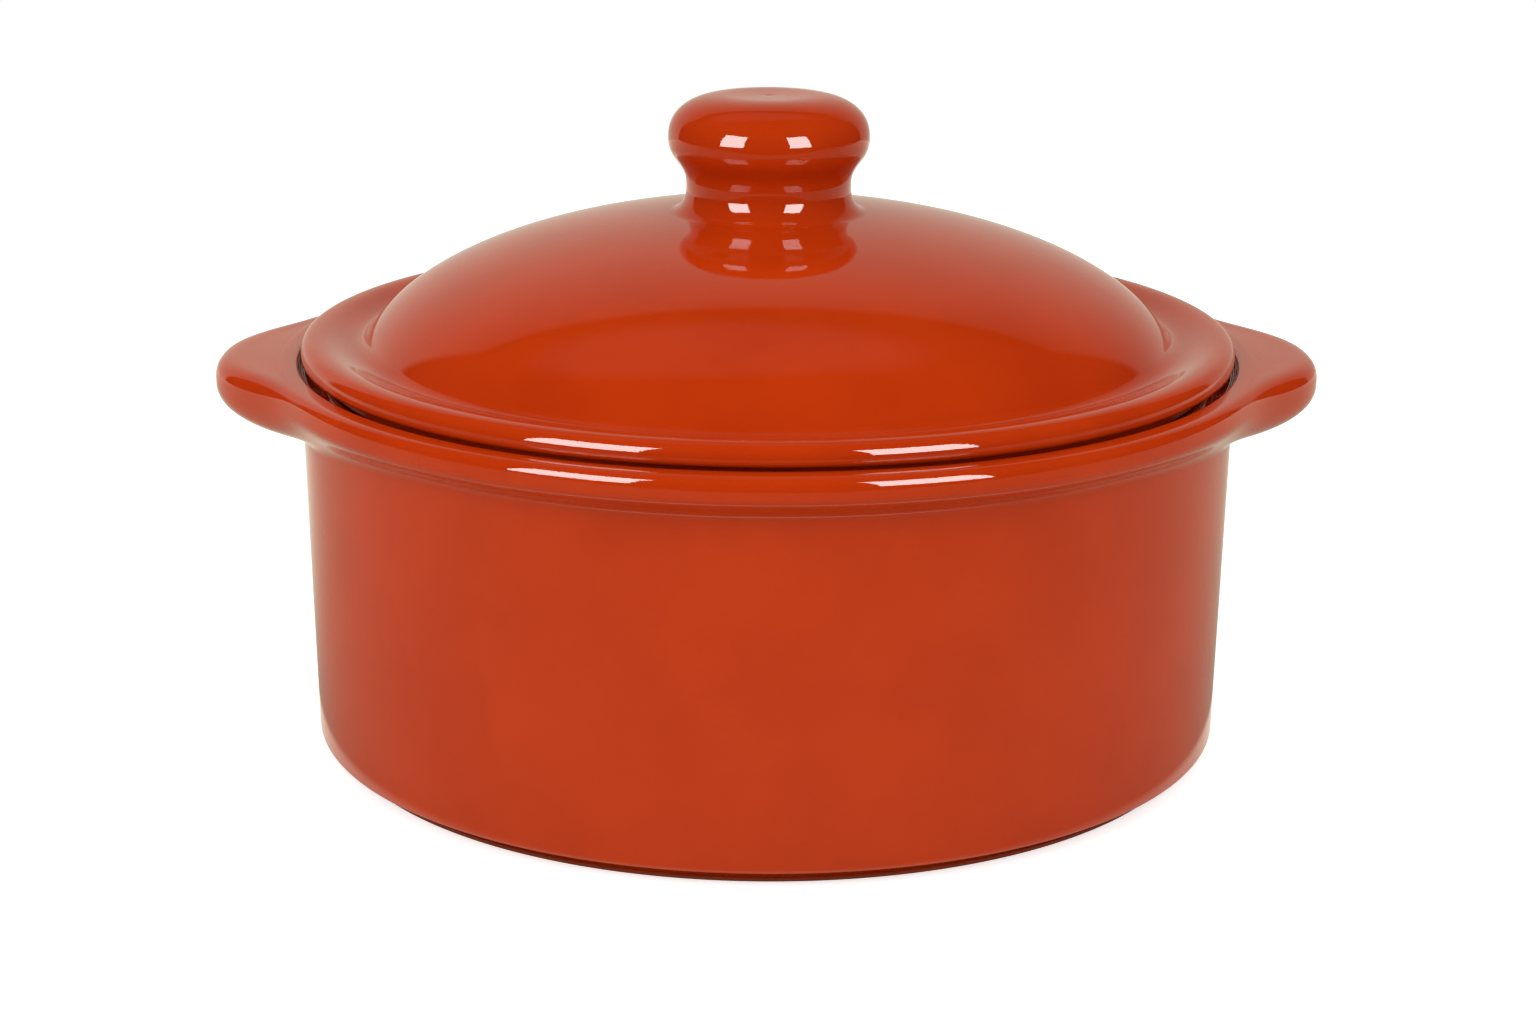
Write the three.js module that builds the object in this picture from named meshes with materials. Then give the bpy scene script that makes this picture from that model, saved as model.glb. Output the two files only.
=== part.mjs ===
// A round glazed clay casserole: a straight-sided pot with two lug handles, and a domed lid with a turned
// knob that drops into a gallery inside the rim. Millimetres, +Z up, the axis of the pot on Z, its foot on
// z = 0 and its handles along X.
import * as THREE from 'three';

// Pot: outer wall, floor and foot
const WALL_TOP_RADIUS = 119.9;
const WALL_FOOT_RADIUS = 117.4;
const WALL_THICKNESS = 8;
const FLOOR_THICKNESS = 8;
const BASE_CORNER_RADIUS = 5.3;
const INNER_CORNER_RADIUS = 14;
const FOOT_HEIGHT = 1;
const FOOT_WIDTH = 9;
const FOOT_EDGE_RADIUS = 0.4;

// Rim: a rolled bead on the outside and a gallery on the inside for the lid
const RIM_HEIGHT = 100.9;
const RIM_WIDTH = 6.7;
const BEAD_RADIUS = 3.7;
const BEAD_FILLET_RADIUS = 4.2;
const GALLERY_LEDGE = 7.9;
const GALLERY_DEPTH = 4.4;
const LIP_RADIUS = 1;

// Lug handles, luted to the outside of the rim
const HANDLE_REACH = 14.8;
const HANDLE_HALF_LENGTH = 32.8;
const HANDLE_FULLNESS = 2.65;
const HANDLE_THICKNESS = 12.7;
const HANDLE_DROP = 0.9;
const HANDLE_TOP_ROUND = 4.4;
const HANDLE_UNDER_ROUND = 6;
const HANDLE_UNDER_TAPER = 0.2;
const HANDLE_ROUND_SHARE = 0.9;
const HANDLE_END_STEP = 1.3;
const LUTE_GAP = 0.3;

// Lid: a flange that sits in the gallery, and an elliptical dome
const LID_CLEARANCE = 1.3;
const LID_THICKNESS = 7.5;
const FLANGE_THICKNESS = 10.2;
const FLANGE_WIDTH = 15.6;
const FLANGE_EDGE_WIDTH = 9.2;
const FLANGE_EDGE_HEIGHT = 2.6;
const FLANGE_UNDER_RADIUS = 1.5;
const DOME_RISE = 39.4;
const DOME_SPRING = 2.3;
const DOME_FILLET_RADIUS = 10;

// Knob, luted into a shallow seat on the crown of the dome
const KNOB_RADIUS = 25.5;
const KNOB_NECK_RADIUS = 21;
const KNOB_HEIGHT = 29.5;
const KNOB_CAP_HEIGHT = 10.8;
const KNOB_CAP_FULLNESS = 2.6;
const KNOB_COVE_HEIGHT = 11.8;
const KNOB_FLARE_RADIUS = 3.6;
const KNOB_SEAT_DEPTH = 1;

// Facets round each turned piece and along each curve
const POT_FACETS = 56;
const KNOB_FACETS = 36;
const HANDLE_STEPS = 22;
const HANDLE_BACK_STEPS = 9;
const BEAD_STEPS = 7;
const CORNER_STEPS = 5;
const FILLET_STEPS = 4;
const EDGE_STEPS = 2;
const DOME_STEPS = 9;
const KNOB_STEPS = 8;
const BISECTIONS = 50;

const GLAZE_COLOUR = 0xb83408;
const BARE_CLAY_COLOUR = 0x7a2a10;
const GLAZE_ROUGHNESS = 0.12;
const BARE_CLAY_ROUGHNESS = 0.8;

const glaze = new THREE.MeshStandardMaterial({ color: GLAZE_COLOUR, roughness: GLAZE_ROUGHNESS });
const bareClay = new THREE.MeshStandardMaterial({ color: BARE_CLAY_COLOUR, roughness: BARE_CLAY_ROUGHNESS });

// Heights and radii that the pieces share
const seatHeight = RIM_HEIGHT - GALLERY_DEPTH;
const innerTopRadius = WALL_TOP_RADIUS - WALL_THICKNESS;
const innerFootRadius = WALL_FOOT_RADIUS - WALL_THICKNESS;
const galleryRadius = innerTopRadius + GALLERY_LEDGE;
const lidRadius = galleryRadius - LID_CLEARANCE;
const footRadius = WALL_FOOT_RADIUS - BASE_CORNER_RADIUS;

const bead = {
  radius: BEAD_RADIUS,
  r: galleryRadius + RIM_WIDTH - BEAD_RADIUS,
  z: RIM_HEIGHT - BEAD_RADIUS,
};
const beadReach = galleryRadius + RIM_WIDTH;

// The hollow fillet under the bead touches the wall on one side and the bead on the other.
const filletR = WALL_TOP_RADIUS + BEAD_FILLET_RADIUS;
const filletDrop = Math.sqrt((BEAD_RADIUS + BEAD_FILLET_RADIUS) ** 2 - (filletR - bead.r) ** 2);
const fillet = { radius: BEAD_FILLET_RADIUS, r: filletR, z: bead.z - filletDrop };
const tangentAngle = Math.atan2(fillet.z - bead.z, fillet.r - bead.r);

function point(r, z) {
  return new THREE.Vector2(r, z);
}

function arc(centreR, centreZ, radius, start, end, steps, height = radius) {
  const points = [];
  for (let i = 0; i <= steps; i += 1) {
    const angle = start + ((end - start) * i) / steps;
    points.push(point(centreR + radius * Math.cos(angle), centreZ + height * Math.sin(angle)));
  }
  return points;
}

// A solid turned about Z from an outline of radius and height that runs up its outside.
function turned(outline, facets) {
  return new THREE.LatheGeometry(outline, facets).rotateX(Math.PI / 2);
}

function potBodyGeometry() {
  const cornerZ = FOOT_HEIGHT + BASE_CORNER_RADIUS;
  const floorZ = FOOT_HEIGHT + FLOOR_THICKNESS;
  const innerCornerR = innerFootRadius - INNER_CORNER_RADIUS;
  const lipRadius = Math.min(LIP_RADIUS, RIM_WIDTH - BEAD_RADIUS);
  const outline = [
    point(0, FOOT_HEIGHT),
    ...arc(footRadius, cornerZ, BASE_CORNER_RADIUS, -Math.PI / 2, 0, CORNER_STEPS),
    ...arc(fillet.r, fillet.z, fillet.radius, Math.PI, Math.PI + tangentAngle, FILLET_STEPS),
    ...arc(bead.r, bead.z, bead.radius, tangentAngle, Math.PI / 2, BEAD_STEPS).slice(1),
    ...arc(galleryRadius + lipRadius, RIM_HEIGHT - lipRadius, lipRadius, Math.PI / 2, Math.PI, EDGE_STEPS),
    point(galleryRadius, seatHeight),
    point(innerTopRadius, seatHeight),
    ...arc(innerCornerR, floorZ + INNER_CORNER_RADIUS, INNER_CORNER_RADIUS, 0, -Math.PI / 2, CORNER_STEPS),
    point(0, floorZ),
  ];
  return turned(outline, POT_FACETS);
}

// The foot is a plain ring under the floor, with its two lower edges eased.
function footRingGeometry() {
  const inside = footRadius - FOOT_WIDTH;
  const edge = Math.min(FOOT_EDGE_RADIUS, FOOT_HEIGHT / 2);
  const outline = [
    point(inside, FOOT_HEIGHT),
    ...arc(inside + edge, edge, edge, -Math.PI, -Math.PI / 2, EDGE_STEPS),
    ...arc(footRadius - edge, edge, edge, -Math.PI / 2, 0, EDGE_STEPS),
    point(footRadius, FOOT_HEIGHT),
    point(inside, FOOT_HEIGHT),
  ];
  return turned(outline, POT_FACETS);
}

// How far a handle stands out past the bead, at a distance along the rim from its middle.
function handleReach(along) {
  return HANDLE_REACH * Math.exp(-((Math.abs(along) / HANDLE_HALF_LENGTH) ** HANDLE_FULLNESS));
}

function wallRadius(z) {
  const low = FOOT_HEIGHT + BASE_CORNER_RADIUS;
  return WALL_FOOT_RADIUS + ((WALL_TOP_RADIUS - WALL_FOOT_RADIUS) * (z - low)) / (fillet.z - low);
}

// The back of a handle follows the bead, the fillet and the wall, a luting gap away, down to its underside.
function handleBack(topZ, underZ, steps) {
  const back = new THREE.Path();
  const beadRadius = bead.radius + LUTE_GAP;
  const filletRadius = fillet.radius - LUTE_GAP;
  const tangentZ = bead.z + beadRadius * Math.sin(tangentAngle);
  const topAngle = Math.asin((topZ - bead.z) / beadRadius);
  const beadEnd = underZ > tangentZ ? Math.asin((underZ - bead.z) / beadRadius) : tangentAngle;
  back.absarc(bead.r, bead.z, beadRadius, topAngle, beadEnd, true);
  if (underZ < tangentZ) {
    const filletEnd = underZ > fillet.z ? Math.PI - Math.asin((underZ - fillet.z) / filletRadius) : Math.PI;
    back.absarc(fillet.r, fillet.z, filletRadius, Math.PI + tangentAngle, filletEnd, false);
  }
  if (underZ < fillet.z) {
    back.lineTo(wallRadius(underZ) + LUTE_GAP, underZ);
  }
  return back.getSpacedPoints(steps);
}

// One cross-section of a handle: down its back, out along its underside and up round its rim.
function handleSection(angle) {
  const reach = handleReach(angle * beadReach);
  const outer = beadReach + reach;
  const topZ = RIM_HEIGHT - HANDLE_DROP;
  const beadUnder = bead.z - bead.radius;
  const share = (reach / HANDLE_REACH) ** HANDLE_UNDER_TAPER;
  const underZ = beadUnder - (beadUnder - topZ + HANDLE_THICKNESS) * share;
  const back = handleBack(topZ, underZ, HANDLE_BACK_STEPS);
  const room = HANDLE_ROUND_SHARE * Math.min(outer - back[0].x, (topZ - underZ) / 2);
  const under = Math.min(HANDLE_UNDER_ROUND, room);
  const top = Math.min(HANDLE_TOP_ROUND, room);
  return [
    ...back,
    ...arc(outer - under, underZ + under, under, -Math.PI / 2, 0, FILLET_STEPS),
    ...arc(outer - top, topZ - top, top, 0, Math.PI / 2, FILLET_STEPS),
  ];
}

// A handle on the +X side: its sections swept round the pot's axis and capped at both ends.
function handleGeometry() {
  const endShare = HANDLE_END_STEP / HANDLE_REACH;
  const halfAngle = (HANDLE_HALF_LENGTH * (-Math.log(endShare)) ** (1 / HANDLE_FULLNESS)) / beadReach;
  const positions = [];
  const indices = [];
  const sections = [];
  for (let step = 0; step <= HANDLE_STEPS; step += 1) {
    const angle = halfAngle * ((2 * step) / HANDLE_STEPS - 1);
    const section = handleSection(angle);
    section.forEach(({ x, y }) => positions.push(x * Math.cos(angle), x * Math.sin(angle), y));
    sections.push(section);
  }
  const count = sections[0].length;
  for (let step = 0; step < HANDLE_STEPS; step += 1) {
    for (let i = 0; i < count; i += 1) {
      const here = step * count + i;
      const next = step * count + ((i + 1) % count);
      indices.push(here, here + count, next, next, here + count, next + count);
    }
  }
  const lastRing = HANDLE_STEPS * count;
  THREE.ShapeUtils.triangulateShape(sections[0], []).forEach(([a, b, c]) => indices.push(a, b, c));
  THREE.ShapeUtils.triangulateShape(sections[HANDLE_STEPS], []).forEach(([a, b, c]) => {
    indices.push(lastRing + a, lastRing + c, lastRing + b);
  });
  const geometry = new THREE.BufferGeometry();
  geometry.setAttribute('position', new THREE.Float32BufferAttribute(positions, 3));
  geometry.setIndex(indices);
  geometry.computeVertexNormals();
  return geometry;
}

// The dome is an ellipse about the lid's axis, springing a little above the seat.
const dome = {
  radius: lidRadius - FLANGE_WIDTH,
  rise: DOME_RISE,
  z: seatHeight + DOME_SPRING,
};

function domePoint(angle) {
  return point(dome.radius * Math.cos(angle), dome.z + dome.rise * Math.sin(angle));
}

function domeHeight(r) {
  return dome.z + dome.rise * Math.sqrt(1 - (r / dome.radius) ** 2);
}

// Where a ball of the fillet's radius rests on both the flange and the dome.
function domeFillet(flangeZ) {
  const centreAt = (angle) => {
    const normal = point(Math.cos(angle) / dome.radius, Math.sin(angle) / dome.rise).normalize();
    return domePoint(angle).addScaledVector(normal, DOME_FILLET_RADIUS);
  };
  let low = 0;
  let high = Math.PI / 2;
  for (let i = 0; i < BISECTIONS; i += 1) {
    const middle = (low + high) / 2;
    if (centreAt(middle).y < flangeZ + DOME_FILLET_RADIUS) low = middle;
    else high = middle;
  }
  const centre = centreAt(low);
  const touch = domePoint(low);
  return { centre, domeAngle: low, touchAngle: Math.atan2(touch.y - centre.y, touch.x - centre.x) };
}

const knobBaseRadius = KNOB_NECK_RADIUS + KNOB_FLARE_RADIUS;
const knobSeatHeight = domeHeight(knobBaseRadius) - KNOB_SEAT_DEPTH;

function lidGeometry() {
  const flangeZ = seatHeight + FLANGE_THICKNESS;
  const { centre, domeAngle, touchAngle } = domeFillet(flangeZ);
  const crownRadius = knobBaseRadius + LUTE_GAP;
  const crownAngle = Math.acos(crownRadius / dome.radius);
  const edgeWidth = Math.min(FLANGE_EDGE_WIDTH, lidRadius - centre.x);
  const edgeHeight = Math.min(FLANGE_EDGE_HEIGHT, FLANGE_THICKNESS / 3);
  const crest = { r: lidRadius - edgeWidth, z: flangeZ - edgeHeight };
  const underEdge = Math.min(FLANGE_UNDER_RADIUS, FLANGE_THICKNESS / 3);
  const insideRadius = dome.radius - LID_THICKNESS;
  const insideRise = dome.rise - LID_THICKNESS;
  const outline = [];
  for (let i = 0; i <= DOME_STEPS; i += 1) {
    const angle = (Math.PI / 2) * (1 - i / DOME_STEPS);
    outline.push(point(insideRadius * Math.cos(angle), dome.z + insideRise * Math.sin(angle)));
  }
  outline[0].x = 0;
  outline.push(point(insideRadius, seatHeight));
  outline.push(...arc(lidRadius - underEdge, seatHeight + underEdge, underEdge, -Math.PI / 2, 0, EDGE_STEPS));
  outline.push(...arc(crest.r, crest.z, edgeWidth, 0, Math.PI / 2, BEAD_STEPS, edgeHeight));
  outline.push(...arc(centre.x, centre.y, DOME_FILLET_RADIUS, -Math.PI / 2, touchAngle, FILLET_STEPS));
  for (let i = 1; i <= DOME_STEPS; i += 1) {
    outline.push(domePoint(domeAngle + ((crownAngle - domeAngle) * i) / DOME_STEPS));
  }
  outline.push(point(crownRadius, knobSeatHeight));
  outline.push(point(0, knobSeatHeight));
  return turned(outline, POT_FACETS);
}

function knobGeometry() {
  const baseZ = knobSeatHeight + KNOB_SEAT_DEPTH;
  const capZ = baseZ + KNOB_HEIGHT - KNOB_CAP_HEIGHT;
  const neckZ = capZ - KNOB_COVE_HEIGHT;
  const coveMiddle = (capZ + neckZ) / 2;
  const cove = new THREE.CubicBezierCurve(
    point(KNOB_NECK_RADIUS, neckZ),
    point(KNOB_NECK_RADIUS, coveMiddle),
    point(KNOB_RADIUS, coveMiddle),
    point(KNOB_RADIUS, capZ),
  );
  const flareZ = baseZ + KNOB_FLARE_RADIUS;
  const outline = [
    point(0, knobSeatHeight),
    point(knobBaseRadius, knobSeatHeight),
    ...arc(knobBaseRadius, flareZ, KNOB_FLARE_RADIUS, -Math.PI / 2, -Math.PI, FILLET_STEPS),
    ...cove.getPoints(KNOB_STEPS),
  ];
  for (let i = 1; i < KNOB_STEPS; i += 1) {
    const angle = (i / KNOB_STEPS) * (Math.PI / 2);
    const r = KNOB_RADIUS * Math.cos(angle) ** (2 / KNOB_CAP_FULLNESS);
    const rise = KNOB_CAP_HEIGHT * Math.sin(angle) ** (2 / KNOB_CAP_FULLNESS);
    outline.push(point(r, capZ + rise));
  }
  outline.push(point(0, capZ + KNOB_CAP_HEIGHT));
  return turned(outline, KNOB_FACETS);
}

const casserole = new THREE.Group();

function place(name, geometry, material, turn = 0) {
  const mesh = new THREE.Mesh(geometry, material.clone());
  mesh.name = name;
  mesh.rotation.z = turn;
  casserole.add(mesh);
}

place('pot_body', potBodyGeometry(), glaze);
place('foot_ring', footRingGeometry(), bareClay);
place('right_handle', handleGeometry(), glaze);
place('left_handle', handleGeometry(), glaze, Math.PI);
place('lid', lidGeometry(), glaze);
place('lid_knob', knobGeometry(), glaze);

export default casserole;
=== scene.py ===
"""The looks of a round glazed clay casserole with a lid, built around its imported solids.

Metres, +Z up, the axis of the pot on Z, its handles along X. Outlines are in millimetres.
"""

import math

import bmesh
import bpy
from mathutils import Matrix, Vector


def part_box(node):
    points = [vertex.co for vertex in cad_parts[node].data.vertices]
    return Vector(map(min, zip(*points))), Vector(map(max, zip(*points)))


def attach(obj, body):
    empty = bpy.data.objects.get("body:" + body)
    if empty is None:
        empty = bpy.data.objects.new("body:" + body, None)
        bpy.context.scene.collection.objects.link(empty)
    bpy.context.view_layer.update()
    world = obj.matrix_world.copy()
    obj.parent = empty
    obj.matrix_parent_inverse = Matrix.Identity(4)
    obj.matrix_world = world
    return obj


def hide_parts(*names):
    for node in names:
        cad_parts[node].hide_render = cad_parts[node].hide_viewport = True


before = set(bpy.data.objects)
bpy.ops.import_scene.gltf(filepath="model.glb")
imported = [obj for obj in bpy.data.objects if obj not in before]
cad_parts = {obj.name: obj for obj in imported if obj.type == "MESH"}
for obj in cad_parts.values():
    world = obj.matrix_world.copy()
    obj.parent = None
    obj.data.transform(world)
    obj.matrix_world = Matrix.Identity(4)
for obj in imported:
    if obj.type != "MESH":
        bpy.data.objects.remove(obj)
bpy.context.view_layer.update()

# Pot body
# The vessel is turned in red clay: a flat floor with a bevelled edge, a straight wall, a squarish roll round
# the rim that sweeps in to the wall below it, and a gallery inside the rim for the lid. It is dipped in glaze
# all over but for its foot, and fired.
MM = 0.001
POT_SEGMENTS = 360
WALL_TOP_RADIUS = 119.1
WALL_FOOT_RADIUS = 117.4
WALL_THICKNESS = 8
FLOOR_THICKNESS = 8
BASE_BEVEL_WIDTH = 4.9
BASE_BEVEL_ANGLE = 56
BASE_EDGE_RADIUS = 1
INNER_CORNER_RADIUS = 14
ROLL_HALF_WIDTH = 3.7
ROLL_HALF_HEIGHT = 4.7
ROLL_TOP_SQUARENESS = 3.8
SWEEP_LENGTH = 7.6
SWEEP_DROP = 3.4
SWEEP_RISE = 3.4
RIM_WIDTH = 6.7
LIP_RADIUS = 0.9
LEDGE_WIDTH = 7.9
LEDGE_EDGE_RADIUS = 1.8
GALLERY_CORNER_RADIUS = 3.8
FLOOR_STEPS = 2
WALL_STEPS = 30
SWEEP_STEPS = 30
ROLL_STEPS = 22
INNER_CORNER_STEPS = 14
EDGE_STEPS = 8
GALLERY_STEPS = 6
SHARP_ANGLE = 30

pot_low, pot_high = (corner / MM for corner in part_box("pot_body"))
floor_under = pot_low.z
rim_height = pot_high.z
rim_reach = pot_high.x
seat_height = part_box("lid")[0].z / MM
gallery_radius = rim_reach - RIM_WIDTH
ledge_radius = gallery_radius - LEDGE_WIDTH
roll_r = rim_reach - ROLL_HALF_WIDTH
roll_z = rim_height - ROLL_HALF_HEIGHT
bevel_foot = WALL_FOOT_RADIUS - BASE_BEVEL_WIDTH


def arc(centre_r, centre_z, radius, start, end, steps):
    """Points of a round stretch of an outline, from one angle to another in degrees."""
    angles = [math.radians(start + (end - start) * i / steps) for i in range(steps + 1)]
    return [(centre_r + radius * math.cos(a), centre_z + radius * math.sin(a)) for a in angles]


def roll(centre_r, centre_z, half_width, half_height, squareness, start, end, steps):
    """Points of a rolled edge: an oval that gets squarer as its squareness rises above 2."""
    power = 2 / squareness
    points = []
    for i in range(steps + 1):
        angle = math.radians(start + (end - start) * i / steps)
        across = math.copysign(abs(math.cos(angle)) ** power, math.cos(angle))
        up = math.copysign(abs(math.sin(angle)) ** power, math.sin(angle))
        points.append((centre_r + half_width * across, centre_z + half_height * up))
    return points


def straight(start, end, steps):
    """Points of a straight stretch between two points, without its ends."""
    shares = [i / steps for i in range(1, steps)]
    return [tuple(a + (b - a) * share for a, b in zip(start, end)) for share in shares]


def sweep(edge_r, edge_z, end_z, drop, rise, steps):
    """Points of the smooth sweep from a rolled edge's outermost point, down and in to the wall below it."""
    points = []
    for i in range(steps + 1):
        t = i / steps
        s = 1 - t
        r = edge_r * s**2 * (1 + 2 * t) + WALL_TOP_RADIUS * t**2 * (3 - 2 * t)
        z = edge_z * s**3 + 3 * (edge_z - drop) * s**2 * t + 3 * (end_z + rise) * s * t**2 + end_z * t**3
        points.append((r, z))
    return points


def shaded(name, mesh_maker):
    """A new object from a filled bmesh, smooth except across its sharp edges."""
    mesh = bpy.data.meshes.new(name)
    bmesh.ops.recalc_face_normals(mesh_maker, faces=mesh_maker.faces)
    mesh_maker.to_mesh(mesh)
    mesh_maker.free()
    mesh.shade_smooth()
    mesh.set_sharp_from_angle(angle=math.radians(SHARP_ANGLE))
    piece = bpy.data.objects.new(name, mesh)
    bpy.context.scene.collection.objects.link(piece)
    return piece


def turned(name, outline, segments):
    """A piece turned about Z from an outline of radii and heights, ending on the axis or where it began."""
    maker = bmesh.new()
    closed = outline[0] == outline[-1]
    rings = []
    for r, z in outline[:-1] if closed else outline:
        angles = [math.tau * i / segments for i in range(segments)] if r > 0 else [0]
        ring = [(r * MM * math.cos(a), r * MM * math.sin(a), z * MM) for a in angles]
        rings.append([maker.verts.new(point) for point in ring])
    followers = rings[1:] + rings[:1] if closed else rings[1:]
    for lower, upper in zip(rings, followers):
        for i in range(segments):
            j = i + 1
            # A ring on the axis is a single point, so the faces beside it have three corners.
            below = [lower[i % len(lower)], lower[j % len(lower)]]
            above = [upper[j % len(upper)], upper[i % len(upper)]]
            maker.faces.new(list(dict.fromkeys(below + above)))
    return shaded(name, maker)


bevel = math.radians(BASE_BEVEL_ANGLE)
bevel_run = BASE_BEVEL_WIDTH - BASE_EDGE_RADIUS * (1 - math.cos(bevel))
corner_z = floor_under + bevel_run / math.tan(bevel) + BASE_EDGE_RADIUS * math.sin(bevel)
inner_floor = floor_under + FLOOR_THICKNESS
inner_foot_radius = WALL_FOOT_RADIUS - WALL_THICKNESS
inner_corner = (inner_foot_radius - INNER_CORNER_RADIUS, inner_floor + INNER_CORNER_RADIUS)
sweep_end = roll_z - SWEEP_LENGTH
wall_foot = (WALL_FOOT_RADIUS, corner_z)
wall_top = (WALL_TOP_RADIUS, sweep_end)
lip = (gallery_radius + LIP_RADIUS, rim_height - LIP_RADIUS)
gallery_corner = (gallery_radius - GALLERY_CORNER_RADIUS, seat_height + GALLERY_CORNER_RADIUS)
ledge_edge = (ledge_radius + LEDGE_EDGE_RADIUS, seat_height - LEDGE_EDGE_RADIUS)
outline = [(0, floor_under)]
outline += straight((0, floor_under), (bevel_foot, floor_under), FLOOR_STEPS)
outline += [(bevel_foot, floor_under)]
outline += arc(
    WALL_FOOT_RADIUS - BASE_EDGE_RADIUS, corner_z, BASE_EDGE_RADIUS, -BASE_BEVEL_ANGLE, 0, EDGE_STEPS
)
outline += straight(wall_foot, wall_top, WALL_STEPS)
outline += reversed(sweep(rim_reach, roll_z, sweep_end, SWEEP_DROP, SWEEP_RISE, SWEEP_STEPS))
outline += roll(
    roll_r, roll_z, ROLL_HALF_WIDTH, ROLL_HALF_HEIGHT, ROLL_TOP_SQUARENESS, 0, 90, ROLL_STEPS
)[1:]
outline += arc(*lip, LIP_RADIUS, 90, 180, EDGE_STEPS)
outline += arc(*gallery_corner, GALLERY_CORNER_RADIUS, 0, -90, GALLERY_STEPS)
outline += arc(*ledge_edge, LEDGE_EDGE_RADIUS, 90, 180, EDGE_STEPS)
outline += arc(*inner_corner, INNER_CORNER_RADIUS, 0, -90, INNER_CORNER_STEPS)
outline += straight((inner_corner[0], inner_floor), (0, inner_floor), FLOOR_STEPS)
outline += [(0, inner_floor)]
pot_body = turned("pot_body_glazed", outline, POT_SEGMENTS)


def linear(hex_colour):
    """A colour written in sRGB hex, as linear red, green, blue and alpha."""
    channels = [int(hex_colour[i : i + 2], 16) / 255 for i in (1, 3, 5)]
    return [c / 12.92 if c <= 0.04045 else ((c + 0.055) / 1.055) ** 2.4 for c in channels] + [1.0]


def node(tree, kind, inputs, **settings):
    """A new shader node with its settings, and its inputs set or linked."""
    made = tree.nodes.new(kind)
    for name, value in settings.items():
        setattr(made, name, value)
    for socket, value in inputs.items():
        if isinstance(value, bpy.types.NodeSocket):
            tree.links.new(value, made.inputs[socket])
        else:
            made.inputs[socket].default_value = value
    return made


def emptied(owner):
    """The node tree of a material or world, with its default nodes taken out."""
    owner.use_nodes = True
    owner.node_tree.nodes.clear()
    return owner.node_tree


# Glossy red-orange earthenware glaze: smooth and wet-looking, with soft cloudy depth where it pooled thicker
# or thinner in the kiln, a very fine orange-peel skin that frays the edges of highlights, and a few pinholes.
# Of the studio, its thin clear coat mirrors only the soft boxes, about as strongly at every angle.
GLAZE_THIN = "#C03708"
GLAZE_THICK = "#B93306"
GLAZE_IOR = 1.52
GLAZE_ROUGHNESS = 0.045
CLOUD_SIZE = 26
CLOUD_RANGE = (0.3, 0.7)
PEEL_SIZE = 1.3
PEEL_DEPTH = 0.007
PINHOLE_SPACING = 17
PINHOLE_SIZE = 0.5
PINHOLE_DEPTH = 0.05
GLINT_SHARE = 0.122
GLINT_IOR = 4.0

glaze = bpy.data.materials.new("glossy_red_orange_glaze")
tree = emptied(glaze)
place = node(tree, "ShaderNodeTexCoord", {}).outputs["Object"]
cloud = node(tree, "ShaderNodeTexNoise", {"Vector": place, "Scale": 1 / (CLOUD_SIZE * MM), "Detail": 4.0})
pooled = node(
    tree,
    "ShaderNodeMapRange",
    {"Value": cloud.outputs["Fac"], "From Min": CLOUD_RANGE[0], "From Max": CLOUD_RANGE[1]},
    interpolation_type="SMOOTHSTEP",
)
colour = node(
    tree,
    "ShaderNodeMix",
    {0: pooled.outputs["Result"], 6: linear(GLAZE_THIN), 7: linear(GLAZE_THICK)},
    data_type="RGBA",
)
peel = node(tree, "ShaderNodeTexNoise", {"Vector": place, "Scale": 1 / (PEEL_SIZE * MM), "Detail": 2.0})
skin = node(
    tree,
    "ShaderNodeBump",
    {"Height": peel.outputs["Fac"], "Strength": 1.0, "Distance": PEEL_DEPTH * MM},
)
holes = node(tree, "ShaderNodeTexVoronoi", {"Vector": place, "Scale": 1 / (PINHOLE_SPACING * MM)})
pit = node(
    tree,
    "ShaderNodeMapRange",
    {"Value": holes.outputs["Distance"], "From Min": 0.0, "From Max": PINHOLE_SIZE / PINHOLE_SPACING},
    interpolation_type="SMOOTHSTEP",
)
pitted = node(
    tree,
    "ShaderNodeBump",
    {
        "Height": pit.outputs["Result"],
        "Strength": 1.0,
        "Distance": PINHOLE_DEPTH * MM,
        "Normal": skin.outputs["Normal"],
    },
)
surface = node(
    tree,
    "ShaderNodeBsdfPrincipled",
    {
        "Base Color": colour.outputs[2],
        "Roughness": GLAZE_ROUGHNESS,
        "IOR": GLAZE_IOR,
        "Normal": pitted.outputs["Normal"],
        "Coat Weight": GLINT_SHARE,
        "Coat Roughness": 0.0,
        "Coat IOR": GLINT_IOR,
        "Coat Normal": pitted.outputs["Normal"],
    },
)
node(tree, "ShaderNodeOutputMaterial", {"Surface": surface.outputs["BSDF"]})

pot_body.data.materials.append(glaze)
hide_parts("pot_body")
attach(pot_body, "pot")

# Foot ring
# The low ring that the pot stands on, cut in the same clay under the floor. It is wiped clean of glaze so
# that it doesn't stick to the kiln shelf, and shows the bare fired clay.
FOOT_EDGE_RADIUS = 0.4
FOOT_EDGE_STEPS = 4
FOOT_WIDTH = 9

foot_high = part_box("foot_ring")[1] / MM
foot_inside = foot_high.x - FOOT_WIDTH
outline = [(foot_inside, foot_high.z)]
outline += arc(foot_inside + FOOT_EDGE_RADIUS, FOOT_EDGE_RADIUS, FOOT_EDGE_RADIUS, -180, -90, FOOT_EDGE_STEPS)
outline += arc(foot_high.x - FOOT_EDGE_RADIUS, FOOT_EDGE_RADIUS, FOOT_EDGE_RADIUS, -90, 0, FOOT_EDGE_STEPS)
outline += [(foot_high.x, foot_high.z), (foot_inside, foot_high.z)]
foot_ring = turned("foot_ring_bare", outline, POT_SEGMENTS)

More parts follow.
